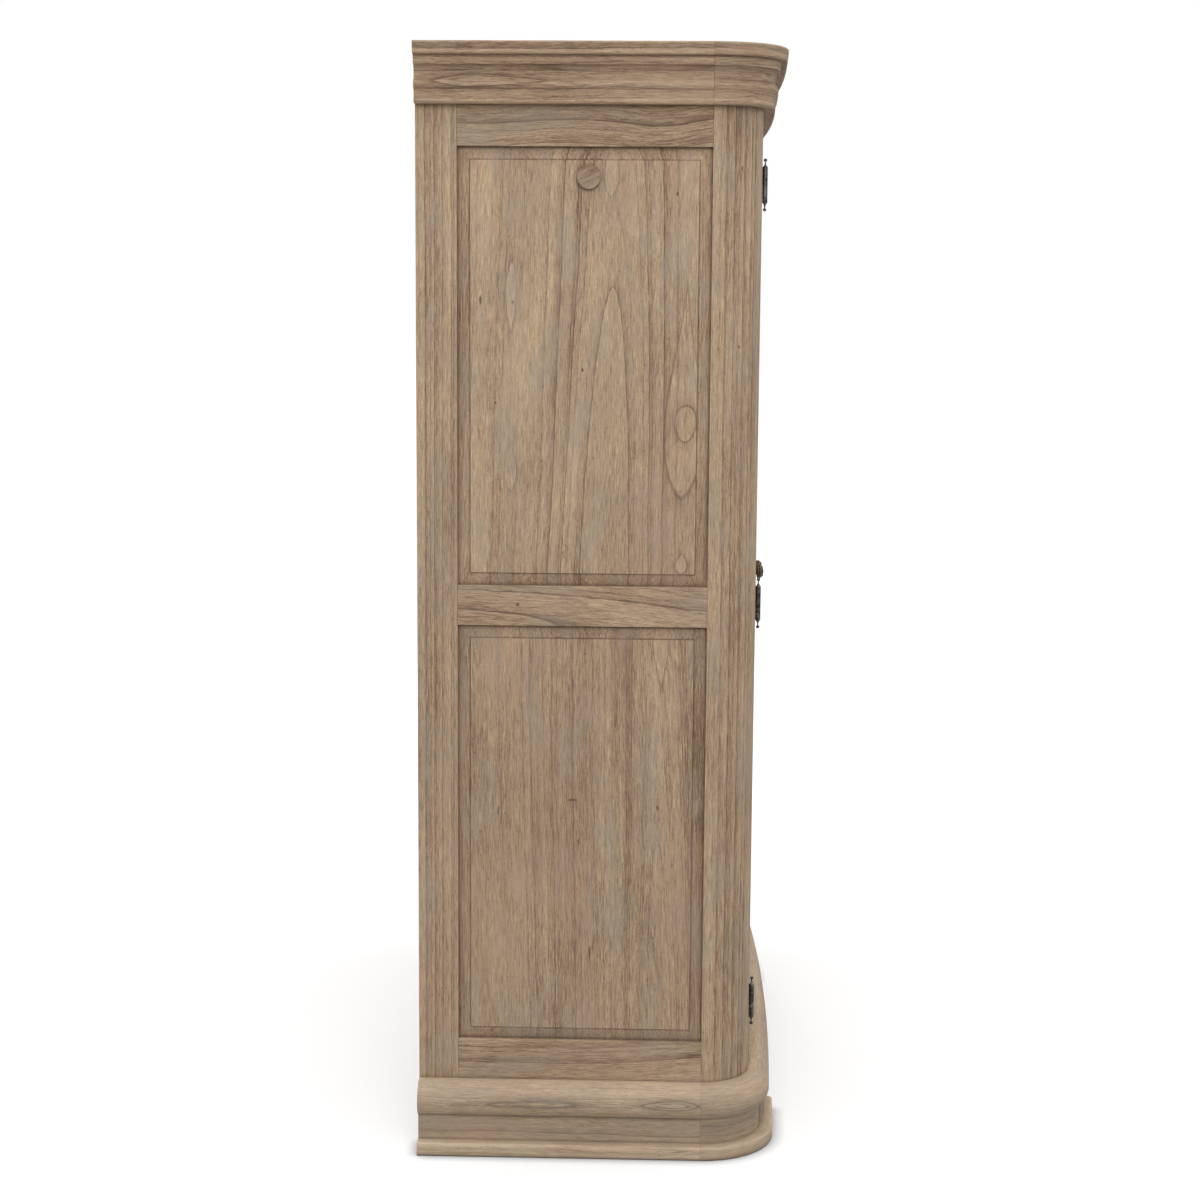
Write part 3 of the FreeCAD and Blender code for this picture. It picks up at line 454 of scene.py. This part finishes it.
carcass_middle = 1.1
upright = dict(middle=carcass_middle, wave=0.6, wander=0.0008, ragged=0.0003)
side_face = 0.665
dress("left_rear_stile", weathered_wood(
    "stile_mindi_left", "Z", "Y",
    quarter_sawn(0.011, (0.3380, 0.75), (0.3211, 0.9), (0.3060, 0.6), (0.2892, 0.7), heart=0.8), 1,
    face=-side_face, drift=0.002, **upright))
dress("right_rear_stile", weathered_wood(
    "stile_mindi_right", "Z", "Y",
    quarter_sawn(0.012, (0.335, 0.7), (0.315, 0.8), (0.29, 0.6)), 2,
    face=side_face, **upright))
dress("left_front_post", weathered_wood(
    "post_mindi_left", "Z", "Y",
    quarter_sawn(0.012, (-0.2258, 0.6), (-0.2426, 0.85), (-0.2611, 0.7), (-0.2834, 0.6), (-0.2760, 0.5),
                 heart=0.8), 3,
    face=-side_face, specks=((-0.2536, 1.579, 0.0016, 0.0022), (-0.2546, 1.909, 0.0012, 0.004)), **upright))
dress("right_front_post", weathered_wood(
    "post_mindi_right", "Z", "Y",
    quarter_sawn(0.012, (-0.22, 0.7), (-0.25, 0.8), (-0.275, 0.5)), 4,
    face=side_face, **upright))


# Side rails: flat-sawn mindi tenoned between post and stile, so only one or two lazy
# growth lines run along each. Each course is given from the front end to the rear, and
# the right side takes it the other way round. The pin knot lies in the middle rail.
top_course = (0.0043, -0.0054, -0.0105, -0.0039, 0.0, 0.0, -0.003, -0.0071, -0.0074)
middle_course = (-0.0234, -0.0191, -0.0115, -0.0054, 0.0, 0.0043, 0.0089, 0.0115, 0.0136)
bottom_course = (0.0176, 0.0133, 0.0085, 0.003, 0.0, -0.0013, -0.0012, -0.0005, 0.0008)
middle_lens = (1.037, 0.29, 0.026, 0.21, 2.6, 0.0, 1.0, 0.06)
knot_level, knot_place = 1.087, 0.162
for side, sign in (("left", -1), ("right", 1)):
    for number, (name, lines, eyes, course) in enumerate((
            ("top", ((1.9947, 1.2), (1.9535, 0.7)), (), top_course),
            ("middle", ((1.1007, 1.1),), (middle_lens,), middle_course),
            ("bottom", ((0.176, 1.0), (0.207, 0.6)), (), bottom_course))):
        dress(f"{side}_side_{name}_rail", weathered_wood(
            f"{name}_rail_mindi_{side}", "Y", "Z", quarter_sawn(0.017, *lines), 10 + number + 5 * sign,
            middle=0.035, face=sign * side_face, wander=0.0015, wave=0.24, tone=-0.05, eyes=eyes,
            specks=((knot_level, -sign * knot_place, 0.0022, 0.0035),), course=course[::-sign]))


# Side panels: three mindi boards each, glued edge to edge before their margins were
# bevelled down to leave a raised field. They sit loose in the grooves of the frame. The
# left ones have a tall pointed figure in the middle and a few pin knots.
panel_face = 0.6615
upper_middle, lower_middle = 1.535, 0.634
dress("left_upper_side_panel", weathered_wood(
    "upper_panel_mindi_left", "Z", "Y",
    [dict(heart=-0.0115, depth=0.0457, taper=0.054, ring=0.0145,
          lines=((0.0167, 0.9), (-0.0847, 0.9), (0.090, 0.3), (-0.1129, 0.75), (0.113, 0.25),
                 (0.203, 0.35)))],
    21, middle=upper_middle, face=-panel_face, sunk=1, drift=0.018,
    eyes=((0.174, 1.6707, 0.0095, 0.066, 1.3, 0.25, 0.45, 0.18),
          (0.178, 1.348, 0.011, 0.046, 1.0, -0.3, 0.4, 0.06),
          (-0.1540, 1.4335, 0.0195, 0.034, 2.0, 0.15, 0.9, -0.02),
          (-0.150, 1.167, 0.011, 0.019, 1.3, -0.4, 0.8, 0.12),
          (-0.1520, 1.49, 0.030, 0.197, 1.4, -0.85, 0.75, 0.04),
          (-0.012, 1.905, 0.012, 0.05, 1.2, -0.5, 0.5, 0.08)),
    specks=((0.2331, 1.663, 0.0022, 0.008), (0.1725, 1.6595, 0.0025, 0.003),
            (-0.1346, 1.861, 0.0026, 0.0034), (0.0405, 1.5336, 0.0022, 0.003),
            (0.205, 1.471, 0.002, 0.002), (-0.0289, 1.930, 0.0006, 0.0125))))
dress("left_lower_side_panel", weathered_wood(
    "lower_panel_mindi_left", "Z", "Y",
    [dict(heart=-0.110, depth=0.0344, taper=0.03, ring=0.0125,
          lines=((-0.0859, 0.45), (-0.052, 0.35), (-0.1634, 0.5), (-0.027, 0.25), (-0.19, 0.25))),
     dict(start=0.004, heart=-0.8, depth=0.05, taper=0.0, ring=0.013,
          lines=((0.0514, 0.55), (0.082, 0.25))),
     dict(start=0.0998, heart=0.32, depth=0.08, taper=0.03, ring=0.013,
          lines=((0.1065, 0.45), (0.131, 0.4)))],
    28, middle=lower_middle, face=-panel_face, sunk=1, drift=-0.014, tone=-0.06,
    eyes=((-0.116, 1.0, 0.014, 0.07, 1.2, 0.5, 0.7, 0.05),),
    specks=((-0.1094, 0.6914, 0.0022, 0.005), (0.0432, 0.6217, 0.0018, 0.006),
            (0.0205, 0.4015, 0.0022, 0.012), (0.1988, 0.683, 0.0018, 0.008),
            (0.0552, 0.7049, 0.008, 0.0022))))
for name, middle, seed in (("upper", upper_middle, 23), ("lower", lower_middle, 24)):
    dress(f"right_{name}_side_panel", weathered_wood(
        f"{name}_panel_mindi_right", "Z", "Y",
        [dict(heart=-0.13, depth=0.04, taper=0.03, ring=0.013,
              lines=((-0.1, 0.9), (-0.07, 0.6))),
         dict(start=-0.05, heart=0.04, depth=0.045, taper=-0.045, ring=0.014,
              lines=((0.06, 0.9), (0.09, 0.8), (0.115, 0.6))),
         dict(start=0.12, heart=0.8, depth=0.05, taper=0.0, ring=0.012,
              lines=((0.16, 0.7), (0.2, 0.5)))],
        seed, middle=middle, face=panel_face, sunk=-1,
        eyes=((0.17, middle + 0.1, 0.012, 0.06, 1.2, 0.2, 0.8, 0.08),),
        specks=((-0.02, middle + 0.2, 0.002, 0.004), (0.08, middle - 0.15, 0.002, 0.008))))


# Cornice and plinth: moulded lengths with the grain along them, glued round the carcass,
# and round corners cut from solid blocks, which take the stain a little darker. Bands of
# tone run round them: the darker ones are painted shade, on the cornice's crown and on the plinth's cove,
# low on its cap and at its bottom edge; the paler one is the plinth foot's lighter stain. The bands give
# where, how high each way, and the change.
corner_centre_x, corner_centre_y, corner_radius = 0.57, -0.20025, 0.11
band_reach, band_softness = 3.0, 0.5
cornice_loops = ((2.064, 0.215, 0.0105, 0.105, 1.2, 0.5, 0.9, 0.03),
                 (2.066, 0.225, 0.0055, 0.055, 1.3, 0.4, 0.5, 0.0),
                 (2.088, -0.04, 0.0080, 0.150, 1.4, 0.3, 0.6, 0.0))
plinth_loops = ((0.108, 0.130, 0.0060, 0.085, 1.4, -0.3, 1.3, 0.02),
                (0.109, 0.135, 0.0030, 0.045, 1.4, -0.3, 0.8, 0.0),
                (0.108, -0.14, 0.0085, 0.055, 1.4, -0.3, 1.3, 0.03),
                (0.108, -0.145, 0.0045, 0.032, 1.4, -0.3, 0.9, 0.0),
                (0.022, -0.05, 0.0050, 0.120, 1.5, 0.2, 0.8, 0.02))
# The cornice's band is painted shade on the top of its crown.
cornice_shade_bands = ((2.130, 0.012, -0.2),)
plinth_stain_and_shade_bands = ((0.0, 0.010, -0.35), (0.012, 0.022, 0.2), (0.054, 0.022, -0.13), (0.082, 0.012, -0.1))
for part, low, high, seed, shade, lime, loops, stain_and_shade_bands in (
        ("cornice", 2.023, 2.134, 31, -0.06, (0.0, 0.2), cornice_loops, cornice_shade_bands),
        ("plinth", 0.0, 0.1424, 41, 0.2, (0.3, 0.55), plinth_loops, plinth_stain_and_shade_bands)):
    middle = (low + high) / 2
    # Each band is a tone laid round every piece: painted shade where it darkens, the foot's lighter stain
    # where it lightens.
    stain_and_shade = tuple((level, 0.0, half_height, band_reach, band_softness, 0.0, 0.0, change)
                 for level, half_height, change in stain_and_shade_bands)
    corner_joint = (middle, -0.1998, 0.09, 0.0004)
    corner_shade = shade - 0.04 - (0.1 if part == "plinth" else 0.0)
    for side, sign in (("left", -1), ("right", 1)):
        dress(f"{side}_{part}_side", weathered_wood(
            f"{part}_mindi_{side}", "Y", "Z",
            quarter_sawn(0.015, (middle + 0.004, 0.7), (middle - 0.03, 0.6), (middle + 0.041, 0.25)),
            seed + sign, middle=0.05, face=sign * 0.68, wander=0.004, wave=0.3, tone=shade, lime=lime,
            eyes=loops + stain_and_shade, specks=(corner_joint,)))
        dress(f"{side}_{part}_corner", weathered_wood(
            f"{part}_corner_mindi_{side}", "X", "Z",
            quarter_sawn(0.017, (middle - 0.02, 0.4), (middle + 0.03, 0.4)), seed + 3 + sign, wave=0.15,
            bend=(sign * corner_centre_x, corner_centre_y, corner_radius),
            tone=corner_shade, lime=lime, eyes=stain_and_shade))
    dress(f"{part}_front", weathered_wood(
        f"{part}_mindi_front", "X", "Z",
        [dict(heart=middle, depth=0.05, taper=0.05, ring=0.015,
              lines=((middle + 0.012, 0.8), (middle + 0.036, 0.7)))],
        seed + 6, face=-0.33, wander=0.005, wave=0.3, tone=shade - 0.08, lime=lime, eyes=stain_and_shade))


# Front rails, boards and ledgers: the plain inside of the carcass in the same wood. The
# rails tie the two sides behind cornice and plinth, and the boards are glued up from
# three widths. Floor and shoe shelf lie on ledgers fixed to the sides.
for number, (name, level) in enumerate((("front_top_rail", 2.07), ("front_bottom_rail", 0.10))):
    dress(name, weathered_wood(
        f"{name}_mindi", "X", "Z", quarter_sawn(0.016, (level, 0.7), (level + 0.02, 0.5)), 50 + number,
        face=-0.3))
for number, name in enumerate(("top_board", "floor_board", "shoe_shelf")):
    dress(name, weathered_wood(
        f"{name}_mindi", "X", "Y",
        [dict(heart=-0.2, depth=0.045, taper=0.02, ring=0.013,
              lines=((-0.17, 0.8), (-0.12, 0.6))),
         dict(start=-0.08, heart=0.0, depth=0.045, taper=-0.03, ring=0.014,
              lines=((0.03, 0.9), (0.06, 0.6))),
         dict(start=0.09, heart=0.2, depth=0.04, taper=0.03, ring=0.013,
              lines=((0.23, 0.9), (0.26, 0.5)))],
        53 + number))
dress("ledger_strips", weathered_wood(
    "ledger_mindi", "Y", "Z", quarter_sawn(0.012, (0.42, 0.6), (0.13, 0.6)), 57))


# Clothes rail: a turned mindi rod from side to side, and the round caps outside that
# cover its ends. Their grain lies aslant and is stained darker, so that they show up.
dress("clothes_rail", weathered_wood("clothes_rail_mindi", "X", "Z", quarter_sawn(0.01, (1.895, 0.5)), 58))
dress("clothes_rail_caps", weathered_wood(
    "rail_cap_mindi", "Y", "Z", quarter_sawn(0.008, (1.897, 0.9), (1.887, 0.6), (1.902, 0.5)), 59,
    middle=0.03, wander=0.002, wave=0.1, drift=0.45, tone=-0.28))


# The back: two wide panels of glued mindi boards, let in between the rear stiles and a
# middle muntin, with the same liming as the outside.
for number, name in enumerate(("left_back_panel", "right_back_panel")):
    dress(name, weathered_wood(
        f"{name}_mindi", "Z", "X",
        [dict(heart=-0.5, depth=0.045, taper=0.02, ring=0.014,
              lines=((-0.46, 0.8), (-0.42, 0.6))),
         dict(start=-0.33, heart=-0.2, depth=0.05, taper=-0.03, ring=0.014,
              lines=((-0.15, 0.9), (-0.11, 0.6))),
         dict(start=0.0, heart=0.2, depth=0.045, taper=0.03, ring=0.014,
              lines=((0.25, 0.9), (0.3, 0.6))),
         dict(start=0.35, heart=0.5, depth=0.045, taper=-0.02, ring=0.014,
              lines=((0.54, 0.8), (0.57, 0.6)))],
        61 + number, middle=carcass_middle, face=0.345))
dress("back_muntin", weathered_wood(
    "back_muntin_mindi", "Z", "X", quarter_sawn(0.012, (0.0, 0.8), (0.02, 0.5), (-0.022, 0.6)), 63,
    middle=carcass_middle))


# The doors: mindi stiles and rails tenoned round two fielded panels, like the side
# frames, and all sawn to the front's shallow bow. Each panel has figure of its own.
door_middle, door_face = 0.28, -0.31
bow_centre_x, bow_centre_y, bow_radius = 0, 11.8263, 12.1316
for side, sign in (("left", -1), ("right", 1)):
    for number, (name, place) in enumerate((("hinge_stile", 0.52), ("meeting_stile", 0.04))):
        lines = [(sign * place + gap, dark) for gap, dark in ((-0.02, 0.7), (0.001, 0.9), (0.018, 0.6))]
        dress(f"{side}_door_{name}", weathered_wood(
            f"door_{name}_mindi_{side}", "Z", "X", quarter_sawn(0.012, *lines), 70 + number + 2 * sign,
            middle=carcass_middle, face=door_face, wave=0.6))
    for number, (name, level) in enumerate((
            ("top_rail", 1.985), ("middle_rail", 1.09), ("bottom_rail", 0.18))):
        dress(f"{side}_door_{name}", weathered_wood(
            f"door_{name}_mindi_{side}", "X", "Z", quarter_sawn(0.017, (level, 0.85), (level + 0.025, 0.6)),
            76 + number + 4 * sign, middle=sign * door_middle, face=door_face, drift=0.03 * sign,
            wander=0.006, wave=0.24))
    for number, (name, level) in enumerate((
            ("upper_panel", upper_middle), ("lower_panel", lower_middle))):
        centre = sign * door_middle
        lean = sign * (1 - 2 * number)
        dress(f"{side}_door_{name}", weathered_wood(
            f"door_{name}_mindi_{side}", "Z", "X",
            [dict(heart=centre - 0.14, depth=0.045, taper=0.03, ring=0.013,
                  lines=((centre - 0.11, 0.9), (centre - 0.09, 0.6))),
             dict(start=centre - 0.06, heart=centre + 0.02 + 0.02 * lean, depth=0.0457,
                  taper=0.045 * lean, ring=0.0145 + 0.001 * sign,
                  lines=((centre + 0.05, 0.95), (centre + 0.08, 0.7))),
             dict(start=centre + 0.1, heart=centre + 0.5, depth=0.05, taper=0.0, ring=0.012,
                  lines=((centre + 0.12, 0.8), (centre + 0.16, 0.6)))],
            84 + number + 4 * sign, middle=level, face=-0.30525, sunk=1,
            bend=(bow_centre_x, bow_centre_y, bow_radius),
            eyes=((centre - 0.1, level + 0.16 * lean, 0.011, 0.06, 1.2, 0.2, 0.8, 0.08),),
            specks=((centre + 0.14, level + 0.1 * sign, 0.002, 0.005),
                    (centre - 0.03, level - 0.2 * lean, 0.002, 0.004))))


# Hinges: lift-off butts in blackened iron, waxed, their leaves screwed to post and door.
# The iron is near black. Its scale, drawn 2 mm wide so that it shows, breaks up the
# shine, and rubbing has bared greyer patches of about 8 mm.
def blackened_iron(name, base, sheen):
    """Black iron oxide, and the greyer sheen that rubbing leaves on it."""
    material, tree = new_material(name)
    place = add_node(tree, "TexCoord").outputs["Object"]
    scale = add_node(tree, "TexNoise", {"Vector": place, "Scale": 420.0, "Detail": 4.0, "Roughness": 0.6})
    rub = add_node(tree, "TexNoise", {"Vector": place, "Scale": 130.0, "Detail": 3.0})
    body = add_node(tree, "ValToRGB", [rub], ((0.4, colour(base)), (0.72, colour(sheen))))
    rough = add_node(tree, "MapRange", {"Value": scale, "To Min": 0.34, "To Max": 0.62})
    bump = add_node(tree, "Bump", {"Height": scale, "Strength": 0.5, "Distance": 0.0004})
    finish = add_node(tree, "BsdfPrincipled", {"Base Color": body, "Metallic": 0.85, "Roughness": rough,
                                               "Normal": bump})
    add_node(tree, "OutputMaterial", {"Surface": finish})
    return material


hinge_iron = blackened_iron("blackened_hinge_iron", "#3a3735", "#7c7875")
screw_iron = blackened_iron("blackened_screw_steel", "#262423", "#55504c")
for place in ("hinge_jamb", "left_door_hinge", "right_door_hinge"):
    dress(f"{place}_leaves", hinge_iron)
    dress(f"{place}_screws", screw_iron)


# Knobs: turned brass, screwed to the meeting stiles. Their patina, in clouds of 9 mm, is
# dark brown and dull, and thinner and shinier where hands have rubbed it.
material, tree = new_material("aged_turned_brass")
place = add_node(tree, "TexCoord").outputs["Object"]
patina = add_node(tree, "TexNoise", {"Vector": place, "Scale": 110.0, "Detail": 4.0, "Roughness": 0.6})
body = add_node(tree, "ValToRGB", [patina], ((0.38, colour("#463b2d")), (0.68, colour("#72634b"))))
rough = add_node(tree, "MapRange", {"Value": patina, "To Min": 0.6, "To Max": 0.42})
bump = add_node(tree, "Bump", {"Height": patina, "Strength": 0.3, "Distance": 0.0003})
finish = add_node(tree, "BsdfPrincipled", {"Base Color": body, "Metallic": 0.6, "Roughness": rough,
                                           "Normal": bump})
add_node(tree, "OutputMaterial", {"Surface": finish})
for side in ("left", "right"):
    dress(f"{side}_door_knob", material)


# Catches: magnets in a housing of brown moulded plastic under the head rail. The mould
# leaves its skin finely pitted, drawn 1 mm wide so that it shows, and so it is dull.
material, tree = new_material("brown_moulded_plastic")
place = add_node(tree, "TexCoord").outputs["Object"]
pits = add_node(tree, "TexNoise", {"Vector": place, "Scale": 900.0, "Detail": 2.0})
body = add_node(tree, "ValToRGB", [pits], ((0.3, colour("#43342a")), (0.7, colour("#4f3e32"))))
bump = add_node(tree, "Bump", {"Height": pits, "Strength": 0.2, "Distance": 0.0002})
finish = add_node(tree, "BsdfPrincipled", {"Base Color": body, "Roughness": 0.5, "Normal": bump})
add_node(tree, "OutputMaterial", {"Surface": finish})
dress("door_catches", material)


# Strike plates: zinc-plated steel on the backs of the doors, which the catches hold. The
# plating's crystals, about 2 mm across, give it a faintly patchy grey shine.
material, tree = new_material("zinc_plated_steel")
place = add_node(tree, "TexCoord").outputs["Object"]
spangle = add_node(tree, "TexVoronoi", {"Vector": place, "Scale": 500.0}).outputs["Distance"]
body = add_node(tree, "ValToRGB", [spangle], ((0.0, colour("#9b9c9b")), (1.0, colour("#b9bab8"))))
finish = add_node(tree, "BsdfPrincipled", {"Base Color": body, "Metallic": 1.0, "Roughness": 0.38})
add_node(tree, "OutputMaterial", {"Surface": finish})
for side in ("left", "right"):
    dress(f"{side}_door_strike", material)
